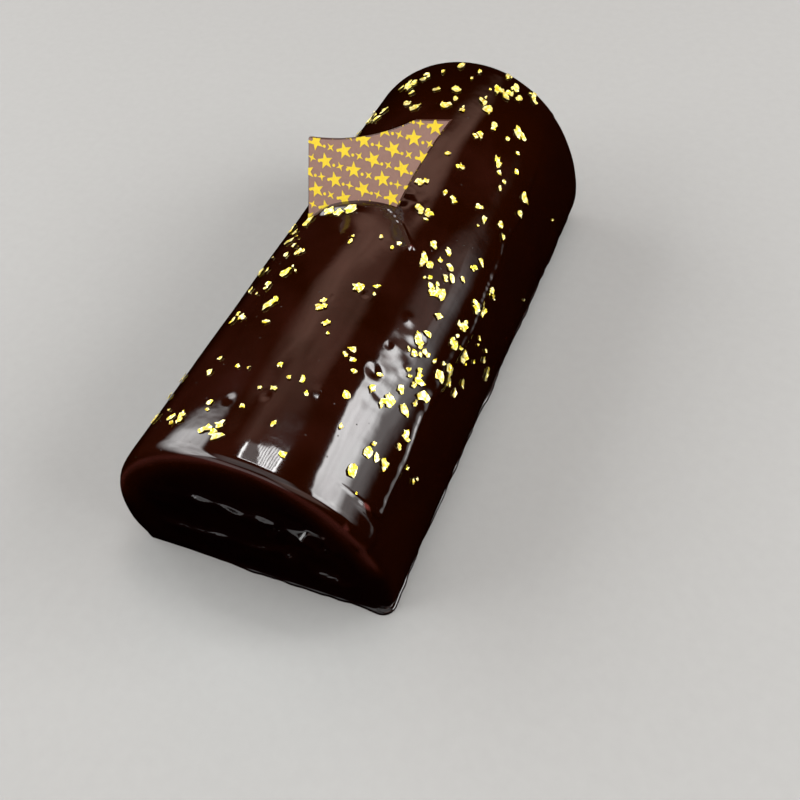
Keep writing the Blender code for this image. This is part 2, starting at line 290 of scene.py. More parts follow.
seam = {
    "angle": 31.5,
    "climb": 11.0,
    "wander": (1.1, 0.6),
    "waves": (0.066, 0.026),
    "step": 0.0011,
    "stepFade": 0.020,
    "bead": 0.00028,
    "beadWidth": 0.0009,
    "wideBead": (-0.033, 0.013, 1.2),    # where the bead is low and wide: Y, half length, how much wider
    "groove": 0.0001,
    "grooveWidth": 0.0010,
    "notch": (-0.0838, 0.0015, 0.0048),  # a torn place near the end: Y, half width, depth
    "notchFront": 0.55,                  # its side away from the end is this much steeper
    "lobe": (-0.0905, 0.0036, -0.0020),  # and the loose flap beside it
}
crease = {"angle": 119.0, "depth": 0.0004, "width": 0.0028, "line": 0.00016, "lineWidth": 0.0008}
# the glaze heaped against the plaque: a lip, and a long low slope in front of it
lip = {"height": 0.00055, "width": 0.0019, "ahead": 0.0014, "range": (-0.0255, 0.0010), "taper": 0.010,
       "slope": 0.0009, "slopeWidth": 0.0065}
# the crumpled skin at the plaque's right foot
fold = {
    "corners": ((0.0010, 0.0068), (0.0098, 0.0018), (0.0086, 0.0084)),
    "edge": 0.0016,
    "wander": 0.0008,
    "height": -0.0001,
    "rippleSize": 0.0014,
    "rippleHeight": 0.00018,
}
# thin raised edges of skin on the crown: height and half width, then X, Y of their points, all in mm
skinEdges = (
    (0.20, 0.60, ((10.4, 3.4), (12.2, 1.6), (14.0, -0.6), (16.2, -3.0))),
    (0.12, 0.55, ((4.6, 8.2), (6.6, 6.2), (9.2, 3.9))),
)
# drops, bubbles and dents: X, Y, radius, height (below 0 for a dent), how thin the glaze is there
bumps = (
    (16.6, -3.4, 0.9, 0.50, 0.6), (15.2, -4.4, 0.4, 0.20, 0.3), (6.6, 12.6, 1.9, -0.42, 0.0),
    (6.8, 16.6, 1.7, -0.30, 0.0), (10.9, 13.6, 1.8, 0.24, 0.0), (11.8, 17.6, 2.0, 0.14, 0.0),
    (12.2, -27.2, 1.1, -0.24, 0.1), (23.9, -49.0, 1.6, -0.32, 0.2), (29.6, -29.9, 1.1, -0.36, 0.0),
    (23.8, -39.0, 0.8, -0.16, 0.0), (25.4, -26.7, 1.6, 0.16, 0.0), (29.8, -42.5, 0.9, 0.30, 0.2),
    (25.9, -37.4, 1.3, 0.15, 0.0), (27.6, -33.8, 1.4, -0.14, 0.0), (27.0, -54.5, 1.2, -0.16, 0.0),
    (15.2, -64.1, 1.5, 0.14, 0.0), (3.3, -71.2, 1.2, -0.18, 0.15), (-6.0, -75.0, 1.2, -0.16, 0.1),
    (4.0, -33.0, 0.6, -0.12, 0.0), (34.9, -83.0, 0.8, 0.32, 0.1), (33.8, -91.2, 0.9, 0.55, 0.5),
)
plaquePlace = {"origin": (-0.0241, 0.0048, 0.0541), "yaw": 8.0, "slope": 17.0, "lean": 25.0}


def plaqueMatrix():
    yaw, slope, lean = (math.radians(plaquePlace[k]) for k in ("yaw", "slope", "lean"))
    along = Vector((math.cos(yaw) * math.cos(slope), math.sin(yaw) * math.cos(slope), math.sin(slope)))
    back = Vector((-math.sin(yaw), math.cos(yaw), 0))
    up = along.cross(back) * math.cos(lean) + back * math.sin(lean)
    turn = Matrix((along, up, along.cross(up))).transposed()
    return Matrix.Translation(plaquePlace["origin"]) @ turn.to_4x4()


def endPlane(end, x):
    return roll["farEnd"] if end > 0 else roll["nearEnd"] + roll["nearSlant"] * x


def section(angle, inset):
    rise = roll["crownHeight"] - roll["widestHeight"]
    side = 1 if angle < 90 else -1
    below = max(-angle, angle - 180, 0) / roll["lowerAngle"]
    if below > 0:
        place = Vector((side * (roll["halfWidth"] - roll["baseTuck"] * below ** 2), 0,
                        roll["widestHeight"] * (1 - below)))
        out = Vector((side, 0, -0.4 * below * (1 - below)))
    else:
        turn = math.radians(angle)
        lean = roll["crownShift"] * math.sin(turn) * (1 - abs(math.cos(turn)))
        place = Vector((roll["halfWidth"] * math.cos(turn) + lean, 0,
                        roll["widestHeight"] + rise * math.sin(turn)))
        out = Vector((math.cos(turn) / roll["halfWidth"], 0, math.sin(turn) / rise))
    out.normalize()
    place -= out * inset
    place.z = max(place.z, 0)
    return place, out


def seamAngle(y):
    climb = seam["climb"] * max(0.0, y / roll["farEnd"]) ** 1.3
    waves = [seam["wander"][k] * math.sin(math.tau * y / seam["waves"][k] + k) for k in (0, 1)]
    return seam["angle"] + climb + sum(waves)


def seamTear(y):  # how far the free edge is set back up the wall, near the end
    notchY, notchWidth, notchDepth = seam["notch"]
    if y > notchY:
        notchWidth *= seam["notchFront"]
    lobeY, lobeWidth, lobeReach = seam["lobe"]
    ragged = 0.00022 * noise.noise(Vector((0, y / 0.0035, 7)))
    return notchDepth * bell(y - notchY, notchWidth) + lobeReach * bell(y - lobeY, lobeWidth) + ragged


def seamRelief(angle, y):
    straight = (angle - seamAngle(y)) * roll["arcPerDegree"]
    if straight < -0.012:
        return 0.0
    slant = (seamTear(y + 0.0002) - seamTear(y - 0.0002)) / 0.0004
    above = (straight - seamTear(y)) / math.sqrt(1 + slant ** 2)
    strength = 1 - 0.6 * smooth(0.005, 0.045, y) - 0.2 * smooth(0.06, 0.09, y)
    wideY, wideLength, widening = seam["wideBead"]
    lobeY, lobeWidth, _ = seam["lobe"]
    plump = 1 + 0.55 * noise.noise(Vector((3, y / 0.0045, 0))) + 0.3 * noise.noise(Vector((8, y / 0.0016, 0)))
    widening = widening * bell(y - wideY, wideLength) + 1.4 * bell(y - lobeY, lobeWidth)
    width = seam["beadWidth"] * plump * (1 + widening)
    step = seam["step"] * smooth(-width, width, above) * math.exp(-max(straight, 0) / seam["stepFade"])
    bead = seam["bead"] * plump * bell(above - width, width)
    groove = seam["groove"] * bell(above + 0.0012, seam["grooveWidth"])
    return strength * (step + bead - groove)


def lipRelief(place):
    origin = plaquePlace["origin"]
    plaqueY = origin[1] + (place.x - origin[0]) * math.tan(math.radians(plaquePlace["yaw"]))
    start, stop = lip["range"]
    along = smooth(start, start + lip["taper"], place.x) * smooth(stop + lip["taper"],
                                                                  stop - lip["taper"], place.x)
    lumps = 1 + 0.3 * noise.noise(Vector((place.x / 0.004, 5, 0)))
    away = place.y - plaqueY
    slope = lip["slope"] * bell(away, lip["slopeWidth"]) * smooth(start, start + lip["taper"], place.x)
    slope *= smooth(0.014, 0.006, place.x)
    return lip["height"] * lumps * along * bell(away + lip["ahead"], lip["width"]) + slope


def insideShare(place, corners, edge):
    share = 1.0
    for k, (x, y) in enumerate(corners):
        nextX, nextY = corners[(k + 1) % len(corners)]
        length = math.hypot(nextX - x, nextY - y)
        depth = ((nextX - x) * (place.y - y) - (nextY - y) * (place.x - x)) / length
        share *= smooth(-edge / 2, edge / 2, depth)
    return share


def lineOffset(spot, line):  # from the nearest place on a line of points in mm to a spot
    best = Vector((1, 1))
    for start, end in zip(line, line[1:]):
        a, b = Vector(start) * mm, Vector(end) * mm
        share = max(0.0, min(1.0, (spot - a).dot(b - a) / (b - a).length_squared))
        best = min(best, spot - a.lerp(b, share), key=lambda offset: offset.length)
    return best


def skinRelief(place):
    if abs(place.x - 0.010) > 0.012 or abs(place.y - 0.002) > 0.011:
        return 0.0
    spot = Vector((place.x, place.y))
    return sum(height * mm * bell(lineOffset(spot, line).length, width * mm) for height, width, line in skinEdges)


def foldRelief(place):
    wander = Vector((noise.noise(place / 0.0021), noise.noise(place / 0.0017), 0)) * fold["wander"]
    share = insideShare(place + wander, fold["corners"], fold["edge"])
    if share < 0.001:
        return 0.0
    ripple = noise.noise(Vector((place.x, place.y * 2.2, 0)) / fold["rippleSize"])
    return share * (fold["height"] + fold["rippleHeight"] * ripple)


def bumpRelief(place):
    total = 0.0
    for x, y, radius, height, _ in bumps:
        away = math.hypot(place.x / mm - x, place.y / mm - y)
        if away > 4 * radius:
            continue
        total += height * mm * bell(away, radius)
        if height < 0:
            total -= 0.2 * height * mm * bell(away - 1.6 * radius, 0.6 * radius)
    return total


def wallRelief(angle, place):
    onTop = smooth(30, 60, angle) * smooth(155, 125, angle)
    relief = seamRelief(angle, place.y) + roll["swellHeight"] * noise.noise(place / roll["swellSize"])
    beside = (angle - crease["angle"]) * roll["arcPerDegree"] + 0.0009 * noise.noise(Vector((0, 2, place.y / 0.03)))
    groove = crease["depth"] * bell(beside, crease["width"]) - crease["line"] * bell(beside, crease["lineWidth"])
    relief -= groove * smooth(0.02, -0.01, place.y) * smooth(-0.078, -0.055, place.y)
    sunk = max(0.0, 1 - (place.y - endPlane(-1, place.x)) / roll["droopReach"])
    relief -= roll["droop"] * sunk ** 2 * smooth(10, 40, angle)
    if onTop:
        relief += onTop * (lipRelief(place) + foldRelief(place) + bumpRelief(place) + skinRelief(place))
    rough = bell(place.x - 0.028, 0.008) * smooth(-0.068, -0.055, place.y) * smooth(-0.02, -0.034, place.y)
    relief += rough * 0.00010 * noise.noise(place / 0.0034) * onTop
    relief += 0.00006 * noise.noise(place / 0.0085)
    return relief


def footRelief(place):
    if place.z >= foot["height"]:
        return 0.0
    spot = Vector((place.x, place.y, 0))
    wander = foot["wander"] * noise.noise(spot / foot["wanderSize"])
    wander += 0.3 * foot["wander"] * noise.noise(spot / 0.004)
    calm = 1 - 0.8 * smooth(-0.070, -0.088, place.y) * smooth(0.015, -0.025, place.x)
    return calm * (foot["spread"] + wander) * math.sqrt(1 - (place.z / foot["height"]) ** 2)


# the turns of the rolled sheet that show through the glaze on the ends
swirl = {"x": 0.0205, "z": 0.0355, "turns": 3.2, "relief": 0.0008, "plainRim": 0.8}
# ridges on the near end: height, then X, Z of their points, in mm
ridges = (
    (1.00, ((-26.0, 38.0), (-19.4, 40.6), (-8.9, 42.9), (0.5, 42.6), (9.8, 43.0), (14.8, 42.0),
            (15.0, 36.6), (16.4, 32.8), (19.5, 31.0), (23.4, 31.9))),
    (1.25, ((16.4, 30.6), (18.6, 26.8), (21.2, 23.3), (23.8, 18.9), (28.4, 18.2))),
    (0.95, ((-27.0, 19.6), (-11.8, 22.3), (9.0, 25.7), (16.0, 29.3))),
    (0.95, ((-26.9, 33.7), (-19.6, 35.2))),
    (1.15, ((24.0, 41.0), (29.0, 39.5), (31.5, 35.5), (29.5, 31.5))),
    (1.20, ((-11.2, 18.5), (-7.6, 15.3))),
    (1.20, ((15.0, 39.5), (18.6, 41.2), (23.0, 40.2), (26.0, 36.8))),
)


def endRelief(place, share, end):
    turn = math.atan2(place.z - swirl["z"], place.x - swirl["x"]) / math.tau
    waves = 0.5 - 0.5 * math.cos(math.tau * (swirl["turns"] * share + turn))
    relief = swirl["relief"] * waves * (0.45 if end < 0 else 1.0)
    relief += roll["swellHeight"] * noise.noise(place / roll["swellSize"])
    relief += 0.0001 * noise.noise(place / 0.006)
    if end < 0:
        wander = Vector((noise.noise(place / 0.009), noise.noise(place / 0.008))) * 0.0016
        spot = Vector((place.x, place.z)) + wander
        uneven = 1 + 0.5 * noise.noise(place / 0.006)
        for height, line in ridges:
            offset = lineOffset(spot, line)
            width = 0.0008 + 0.0034 * smooth(0.0003, -0.0024, offset.y)   # steep above, slumped below
            relief += uneven * height * mm * bell(offset.length, width)
    return smooth(1, swirl["plainRim"], share) * relief + roll["endDome"] * (1 - share ** 2)


def wallAngles():
    lower = roll["lowerAngle"]
    heights = [0.0, 0.25, 0.5, 0.75, 0.98, 1.18, 1.32, 1.42, 1.48, 1.50, 1.7, 2.1]
    low = [-lower * (1 - height * mm / roll["widestHeight"]) for height in heights]
    low += [-lower * (1 - height * mm / roll["widestHeight"]) for height in (3, 4, 5, 6, 7, 8, 9, 10, 11)]
    fineSpans = ((seam["angle"] - 4.5, seam["angle"] + 10.5, 0.42), (62, 102, roll["fineRowStep"]),
                 (crease["angle"] - 3, crease["angle"] + 3, roll["fineRowStep"]))
    upper, angle = [], 0.0
    while angle < 180:
        upper.append(angle)
        angle += min([roll["rowStep"]] + [step for start, stop, step in fineSpans if start < angle < stop])
    return low + upper + [180 - angle for angle in reversed(low)]


def followSeam(angle, y):
    reach = 7.0
    share = smooth(0, seam["angle"] - reach, angle) * smooth(110, seam["angle"] + reach, angle)
    return angle + (seamAngle(y) - seam["angle"]) * share


def wallY(angle, share):  # share 0 is the start of the near rounding, 1 that of the far one
    near = endPlane(-1, section(angle, 0)[0].x) + cornerRadius(-1, angle)
    return near + (roll["farEnd"] - roll["farRound"] - near) * share


def ringPlan():
    corners = [90 * step / 7 for step in range(8)]
    plan = [(0, -1, corner) for corner in corners]
    y, shares = wallY(90, 0), []
    while y < wallY(90, 1):
        shares.append((y - wallY(90, 0)) / (wallY(90, 1) - wallY(90, 0)))
        close = -0.0045 < y < 0.0085 or y < -0.0790
        y += roll["fineStationStep"] if close else roll["stationStep"]
    plan += [(share, 0, 90) for share in shares[1:-1]]
    return plan + [(1, 1, corner) for corner in reversed(corners)]


def cornerRadius(end, angle):
    if end > 0:
        return roll["farRound"]
    return roll["nearRound"] + roll["rightRound"] * bell(angle - 30, 35) + roll["leftRound"] * bell(angle - 125, 30)


def wallPoint(angle, y, end, corner):
    turn = math.radians(corner)
    inset = 0
    if end:
        radius = cornerRadius(end, angle)
        inset = radius * (1 - math.sin(turn))
        y = endPlane(end, section(angle, inset)[0].x) - end * radius * (1 - math.cos(turn))
    angle = followSeam(angle, y)
    place, out = section(angle, inset)
    place.y = y
    if place.z == 0:
        out.z = 0
    outward = out * math.sin(turn) + Vector((0, end, 0)) * math.cos(turn)
    place += outward * (wallRelief(angle, place) * math.sin(turn) + footRelief(place))
    place.z = max(place.z, 0)
    return place


def endPoint(rim, share, end):
    place = Vector((swirl["x"], 0, swirl["z"])).lerp(rim, share)
    place.y = endPlane(end, place.x)
    place.y += end * (endRelief(place, share, end) + footRelief(place))
    return place


def baseEdge(work, left, right, end, count):
    made = []
    for step in range(1, count):
        place = left.co.lerp(right.co, step / count)
        place.z = 0
        place.y = endPlane(end, place.x)
        place.y += end * footRelief(place)
        made.append(work.verts.new(place))
    return made


def closeEnd(work, rim, end, count):
    outer = rim
    for step in range(1, count):
        share = 1 - (step / count) ** 1.15
        inner = [work.verts.new(endPoint(vertex.co, share, end)) for vertex in rim]
        for k in range(len(rim)):
            work.faces.new((outer[k - 1], outer[k], inner[k], inner[k - 1]))
        outer = inner
    middle = work.verts.new(endPoint(rim[0].co, 0, end))
    for k in range(len(rim)):
        work.faces.new((outer[k - 1], outer[k], middle))


def thinGlazeAndPaintedLightShare(place):  # 1 where the glaze is thinnest and the brown shows through; it also carries painted light and shade
    inside = place.y - endPlane(-1, place.x)
    # lighter up over the crown, partly painted light from above, and less so towards the far end
    share = 0.10 + 0.15 * smooth(0.034, 0.054, place.z) * (1 - 0.7 * smooth(0.058, 0.090, place.y))
    # none on the near end face: painted shade there
    share *= smooth(-0.0002, 0.0014, inside)
    for x, y, radius, _, thin in bumps:
        away = math.hypot(place.x / mm - x, place.y / mm - y)
        if thin and away < 4 * radius and place.z > 0.03:
            share = max(share, thin * bell(away, radius))
    share = max(share, 0.9 * bell(place.x - 0.0360, 0.0009) * bell(place.y + 0.0834, 0.0008))
    # a band along the near rim: glaze drawn thin over the edge, and a painted reflection
    return max(share, 0.38 * bell(inside - 0.0005, 0.0008) * smooth(0.018, 0.030, place.z))


def rollMesh():
    work = bmesh.new()
    angles = wallAngles()
    rings = [[work.verts.new(wallPoint(angle, wallY(angle, share), end, corner)) for angle in angles]
             for share, end, corner in ringPlan()]
    for ring, following in zip(rings, rings[1:]):
        for row in range(len(angles) - 1):
            work.faces.new((ring[row], following[row], following[row + 1], ring[row + 1]))
    near, far = rings[0], rings[-1]
    nearBase = baseEdge(work, near[-1], near[0], -1, 90)
    farBase = baseEdge(work, far[-1], far[0], 1, 60)
    closeEnd(work, near + nearBase, -1, 60)
    closeEnd(work, far + farBase, 1, 24)
    right = [ring[0] for ring in rings]
    left = [ring[-1] for ring in reversed(rings)]
    work.faces.new(right + farBase[::-1] + left + nearBase)
    bmesh.ops.recalc_face_normals(work, faces=work.faces)
    mesh = bpy.data.meshes.new("glazedRoll")
    work.to_mesh(mesh)
    work.free()
    # thin glaze, with painted light and shade, per vertex
    thin = mesh.attributes.new("thinGlazeAndPaintedLight", "FLOAT", "POINT")
    thin.data.foreach_set("value", [thinGlazeAndPaintedLightShare(vertex.co) for vertex in mesh.vertices])
    mesh.shade_smooth()
    mesh.materials.append(glaze)
    return mesh


glazedRoll = meshObject("glazedRoll", rollMesh(), rollPlace)
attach(glazedRoll, "root")
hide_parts("roll")
print("roll made,", len(glazedRoll.data.polygons), "faces")


# the plaque: U along its rows, V up, both from its lower left corner at the glaze

plaque = {
    "thickness": 0.0016,
    "depth": 0.0105,                     # buried in the roll
    "leftTop": (0.0074, 0.0247),
    "topCorner": (0.0442, 0.0239),
    "tip": (0.0554, 0.0220),
    "rightFoot": (0.0319, -0.0016),
    "topHollow": 0.0024,
    "sideHollow": 0.0009,
    "edgeSteps": 30,
    "edgeChips": 0.00006,
    "bevel": 0.0003,
    "inkThickness": 0.00007,
}


def hollowEdge(start, end, hollow):
    span = end - start
    inward = Vector((span.y, -span.x)).normalized()
    shares = [step / plaque["edgeSteps"] for step in range(plaque["edgeSteps"])]
    chips = [plaque["edgeChips"] * noise.noise(Vector((share * 20, hollow * 9000, 0))) for share in shares]
    return [start + span * share + inward * (hollow * 4 * share * (1 - share) + chip)
            for share, chip in zip(shares, chips)]


def plaqueOutline():
    leftTop, topCorner, tip, rightFoot = (Vector(plaque[k]) for k in ("leftTop", "topCorner", "tip",
                                                                      "rightFoot"))
    side = tip - rightFoot
    buriedLeft = leftTop * (-plaque["depth"] / leftTop.y)
    buriedRight = rightFoot - side * ((plaque["depth"] + rightFoot.y) / side.y)
    outline = [buriedLeft]
    outline += hollowEdge(leftTop, topCorner, plaque["topHollow"])
    outline += [topCorner]
    outline += hollowEdge(tip, rightFoot, plaque["sideHollow"])
    outline += [rightFoot, buriedRight]
    return outline[::-1]


def plaqueMesh():
    work = bmesh.new()
    front = work.faces.new([work.verts.new((p.x, p.y, 0)) for p in plaqueOutline()])
    front.material_index = 0
    made = bmesh.ops.extrude_face_region(work, geom=[front], use_keep_orig=True)
    for item in made["geom"]:
        if isinstance(item, bmesh.types.BMVert):
            item.co.z -= plaque["thickness"]
    bmesh.ops.recalc_face_normals(work, faces=work.faces)
    edges = [edge for edge in work.edges if edge.calc_face_angle(0) > 0.8]
    bmesh.ops.bevel(work, geom=edges, offset=plaque["bevel"], segments=2, affect="EDGES", profile=0.6)
    work.faces.ensure_lookup_table()
    for face in work.faces:
        facesFront = face.normal.z > 0.9 and face.calc_center_median().z > -1e-5
        face.material_index = 0 if facesFront else 1
        face.smooth = face.calc_area() < 1e-5
    mesh = bpy.data.meshes.new("printedPlaque")
    work.to_mesh(mesh)
    work.free()
    mesh.transform(plaqueMatrix())
    mesh.materials.append(film)
    mesh.materials.append(chocolate)
    return mesh


# the printed pattern: stars and sparks on a slanting lattice, cut off at the plaque's edges
printPattern = {
    "star": (0.0027, 0.00113, 5),        # outer radius, inner radius, points
    "spark": (0.0015, 0.00046, 4),
    "dot": (0.0005, 0.0005, 6),
    "stepAcross": (0.0074, 0.0021),
    "stepUp": (-0.0017, 0.0062),
    "margin": 0.00015,
}


def starPoints(centre, kind, turn):
    outer, inner, count = printPattern[kind]
    points = []
    for k in range(2 * count):
        angle = turn + math.pi * k / count
        radius = inner if k % 2 else outer
        points.append(centre + Vector((math.cos(angle), math.sin(angle))) * radius)
    return points


def inkMesh():
    seeds = random.Random(12)
    across, up = Vector(printPattern["stepAcross"]), Vector(printPattern["stepUp"])
    motifs = []
    for i in range(-4, 14):
        for j in range(-4, 8):
            spot = across * i + up * j
            motifs.append(starPoints(spot, "star", math.pi / 2 + seeds.uniform(-0.25, 0.25)))
            motifs.append(starPoints(spot + across * 0.5 + up * 0.45, "spark", seeds.uniform(0, 1.5)))
            for share in (0.26, 0.74):
                motifs.append(starPoints(spot + across * share + up * (0.9 - share), "dot", 0))
    outline = plaqueOutline()
    low = Vector((min(p.x for p in outline), min(p.y for p in outline)))
    high = Vector((max(p.x for p in outline), max(p.y for p in outline)))
    inside = [m for m in motifs if all(low[a] - 0.003 < m[0][a] < high[a] + 0.003 for a in (0, 1))]
    points, rings = [], []
    for ring in [outline] + inside:
        rings.append(list(range(len(points), len(points) + len(ring))))
        points += ring
    scaled = [point / mm for point in points]
    spots, _, faces, _, _, owners = geometry.delaunay_2d_cdt(scaled, [], rings, 1, 1e-4)
    work = bmesh.new()
    verts = [work.verts.new((spot.x * mm, spot.y * mm, 0)) for spot in spots]
    for face, owner in zip(faces, owners):
        if 0 in owner and len(owner) > 1:
            work.faces.new([verts[k] for k in face])
    bmesh.ops.delete(work, geom=[v for v in work.verts if not v.link_faces], context="VERTS")
    bmesh.ops.dissolve_limit(work, angle_limit=0.01, verts=work.verts, edges=work.edges)
    for face in work.faces:
        if face.normal.z < 0:
            face.normal_flip()
    mesh = bpy.data.meshes.new("plaquePrint")
    work.to_mesh(mesh)
    work.free()
    mesh.transform(plaqueMatrix() @ Matrix.Translation((0, 0, 0.00001)))
    mesh.materials.append(ink)
    return mesh


printedPlaque = meshObject("printedPlaque", plaqueMesh(), rollPlace)
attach(printedPlaque, "root")
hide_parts("plaque")
plaquePrint = meshObject("plaquePrint", inkMesh(), rollPlace)
skin = plaquePrint.modifiers.new("ink", "SOLIDIFY")
skin.thickness = plaque["inkThickness"]
skin.offset = 1
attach(plaquePrint, "root")
print("plaque made")


# gold leaf: torn flakes sprinkled from above, thickest along the right of the crown

flakes = {
    "thickness": 0.00007,
    "lift": 0.00012,
    "crumple": 0.00036,
    "sizes": (1.1, 1.6, 2.0, 2.3, 2.7, 3.4),   # mm across, picked at random
    "seed": 4,
}
# angle round the section, Y in mm, how many, spread in mm round the section and along it
clusters = (
    # near end and its left shoulder
    (76, -82, 2, 5, 4), (96, -86, 3, 4, 4), (108, -80, 4, 7, 5), (122, -82, 3, 5, 5), (134, -84, 2, 4, 5),
    (88, -73, 3, 5, 5), (83, -62, 4, 6, 6), (100, -62, 2, 5, 6), (115, -66, 2, 6, 6), (142, -66, 2, 3, 5),
    # right shoulder of the near half
    (47, -79, 2, 3, 4), (45, -71, 5, 4, 4), (34, -62, 3, 4, 5), (25, -68, 2, 4, 8), (62, -64, 2, 4, 6),
    (52, -52, 6, 5, 4), (43, -50, 3, 3, 4), (66, -52, 2, 4, 4), (72, -47, 2, 4, 4),
    # the thick of it, right of the crown at half length
    (45, -41, 5, 4, 4), (35, -33, 5, 4, 3), (46, -30, 5, 4, 4), (26, -30, 2, 3, 3), (36, -22, 4, 5, 4),
    (26, -19, 3, 4, 4), (52, -20, 2, 4, 4), (40, -12, 3, 4, 4), (22, -12, 4, 4, 4), (58, -10, 3, 4, 4),
    (50, -3, 5, 4, 3), (33, -3, 5, 4, 4), (60, 3, 4, 4, 3), (45, 8, 3, 4, 3), (28, 4, 3, 4, 5),
    (61, -4, 4, 3, 3), (55, -14, 4, 3, 3), (49, -35, 4, 3, 3), (39, -45, 3, 3, 4), (31, -26, 3, 3, 4),
    # crown and left side before the plaque
    (84, -42, 2, 5, 5), (92, -34, 2, 4, 5), (78, -23, 3, 5, 4), (106, -43, 3, 4, 4), (124, -42, 4, 3, 4),
    (112, -26, 3, 5, 4), (128, -24, 2, 3, 4), (80, -6, 3, 5, 3), (96, -10, 2, 5, 4), (115, -12, 4, 5, 4),
    (132, -16, 2, 3, 4), (121, -33, 3, 3, 5), (124, -5, 3, 3, 3),
    # on the lip of the plaque
    (120, 1.5, 3, 2, 1), (107, 2.5, 3, 3, 1), (100, 3.5, 4, 2, 1), (134, 3, 2, 2, 3),
    # beyond the plaque, thinner
    (72, 12, 3, 5, 4), (62, 20, 2, 5, 5), (44, 20, 2, 4, 5), (78, 26, 2, 4, 4), (55, 30, 2, 5, 5),
    (36, 28, 2, 3, 5), (72, 38, 3, 5, 5), (48, 42, 3, 5, 5), (60, 52, 2, 6, 5), (34, 46, 2, 4, 6),
    (42, 56, 2, 4, 5),
    # along the far end
    (58, 64, 3, 5, 4), (46, 68, 2, 4, 4), (84, 66, 4, 5, 4), (106, 66, 3, 5, 4), (128, 64, 4, 4, 4),
    (68, 72, 3, 5, 4), (95, 76, 2, 5, 4), (118, 76, 3, 5, 4), (64, 82, 5, 5, 3), (54, 86, 9, 5, 3),
    (80, 84, 2, 5, 4), (46, 90, 3, 3, 2), (98, 88, 2, 5, 3), (124, 84, 3, 5, 3),
    (138, 72, 4, 3, 5), (112, 84, 3, 4, 3), (142, 60, 2, 2, 4), (66, 92, 2, 5, 2),
    # strays low on the sides
    (10, -14, 2, 4, 10), (8, 18, 1, 3, 8), (155, -40, 3, 6, 30), (160, 40, 3, 6, 30), (14, 60, 1, 4, 8),
)


def glazePoint(angle, y, height):  # a place on the glaze, height above it
    for end in (-1, 1):
        radius = cornerRadius(end, angle)
        into = end * (y - endPlane(end, section(angle, 0)[0].x)) + radius
        if into > 0:
            corner = math.degrees(math.acos(min(1.0, into / radius)))
            place = wallPoint(angle, y, end, corner)
            out = section(angle, 0)[1] * math.sin(math.radians(corner))
            out.y = end * math.cos(math.radians(corner))
            return place + out * height
    return wallPoint(angle, y, 0, 90) + section(angle, 0)[1] * height


def addFlake(work, rng, angle, y, size):
    count = rng.randint(7, 11)
    turn, stretch = rng.uniform(0, math.tau), rng.choice((1.0, 1.15, 1.3, 1.4, 1.7))
    radii = [size / 2 * rng.uniform(0.55, 1.25) for _ in range(count)]
    curl = [rng.uniform(-0.2, 1.0) for _ in range(count)]
    phase = rng.uniform(0, 100)
    across, along = Vector((math.cos(turn), math.sin(turn))), Vector((-math.sin(turn), math.cos(turn)))

    def vertex(share, k):
        way = math.tau * k / count
        flat = across * (math.cos(way) * radii[k] * share * math.sqrt(stretch))
        flat += along * (math.sin(way) * radii[k] * share / math.sqrt(stretch))
        wave = noise.noise(Vector((flat.x, flat.y, phase)) / 0.55)
        height = flakes["lift"] + flakes["crumple"] * (0.6 * wave + 0.35 + 0.9 * curl[k] * share ** 2)
        spot = (angle + flat.x * mm / roll["arcPerDegree"], y + flat.y * mm)
        return work.verts.new(glazePoint(*spot, max(height, 0.00005)))

    centre = work.verts.new(glazePoint(angle, y, flakes["lift"] + flakes["crumple"] * rng.uniform(0, 0.8)))
    middle = [vertex(0.55, k) for k in range(count)]
    outer = [vertex(1.0, k) for k in range(count)]
    for k in range(count):
        work.faces.new((centre, middle[k - 1], middle[k]))
        work.faces.new((middle[k - 1], outer[k - 1], outer[k], middle[k]))


def leafMesh():
    rng = random.Random(flakes["seed"])
    work = bmesh.new()
    made = 0
    for angle, y, count, spreadRound, spreadAlong in clusters:
        for _ in range(count):
            spotAngle = angle + rng.uniform(-1, 1) * spreadRound * mm / roll["arcPerDegree"]
            spotY = (y + rng.uniform(-1, 1) * spreadAlong) * mm
            size = rng.choice(flakes["sizes"]) * rng.uniform(0.85, 1.15) * (1.15 if y > 55 else 1)
            addFlake(work, rng, spotAngle, spotY, size)
            made += 1
            if size > 2.6 and rng.random() < 0.6:   # a second scrap stuck to a large one
                addFlake(work, rng, spotAngle + rng.uniform(-2.2, 2.2), spotY + rng.uniform(-1.8, 1.8) * mm,
                         size * 0.7)
                made += 1
    bmesh.ops.recalc_face_normals(work, faces=work.faces)
    mesh = bpy.data.meshes.new("goldLeafFlakes")
    work.to_mesh(mesh)
    work.free()
    mesh.materials.append(leaf)
    print("gold flakes:", made)
    return mesh


goldLeafFlakes = meshObject("goldLeafFlakes", leafMesh(), rollPlace)
sheet = goldLeafFlakes.modifiers.new("leaf", "SOLIDIFY")
sheet.thickness = flakes["thickness"]
sheet.offset = 1
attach(goldLeafFlakes, "root")


# floor, light and air

